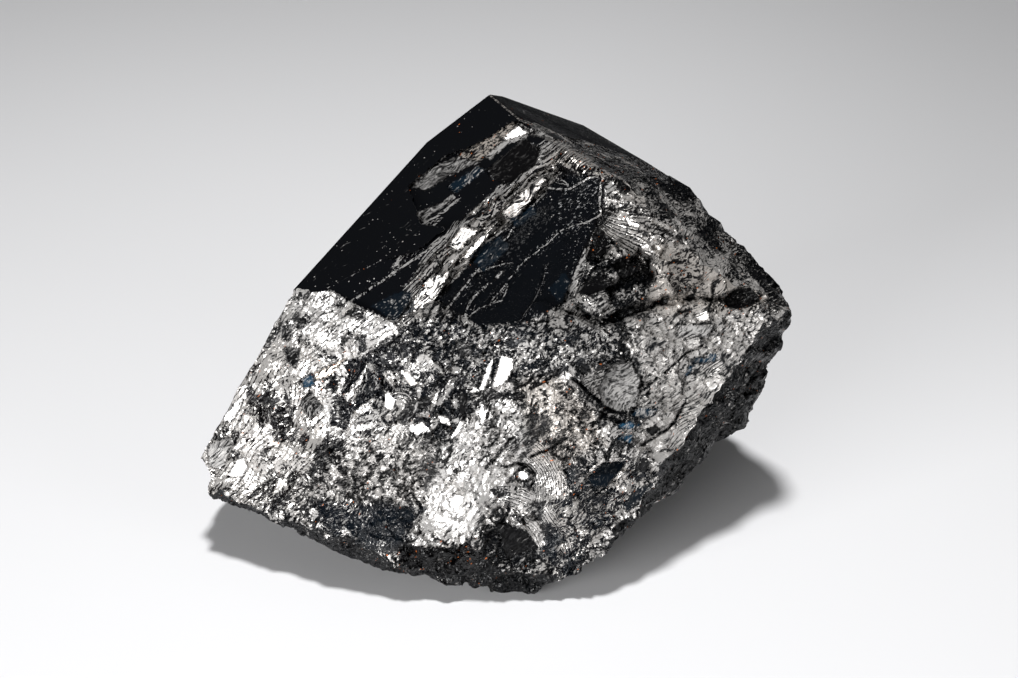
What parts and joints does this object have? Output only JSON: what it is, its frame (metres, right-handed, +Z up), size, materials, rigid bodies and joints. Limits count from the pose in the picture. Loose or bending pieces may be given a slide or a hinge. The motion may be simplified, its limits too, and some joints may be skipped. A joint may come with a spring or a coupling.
{
  "type": "cassiterite specimen",
  "caption": "Broken cassiterite crystal with black pyramid and prism faces and a glittering broken front, resting on a flat underside.",
  "frame": {"origin": "on the flat underside, below the middle of the broken front", "axes": "+X to the right along the broken front, +Y away from it towards the back, +Z up"},
  "size_m": [0.0506, 0.0329, 0.0331],
  "materials": {
    "ore": "glossy black on the crystal faces, bright silvery grey chips on the broken ones"
  },
  "bodies": {
    "root": {"cassiterite_crystal": "ore"}
  },
  "joints": []
}
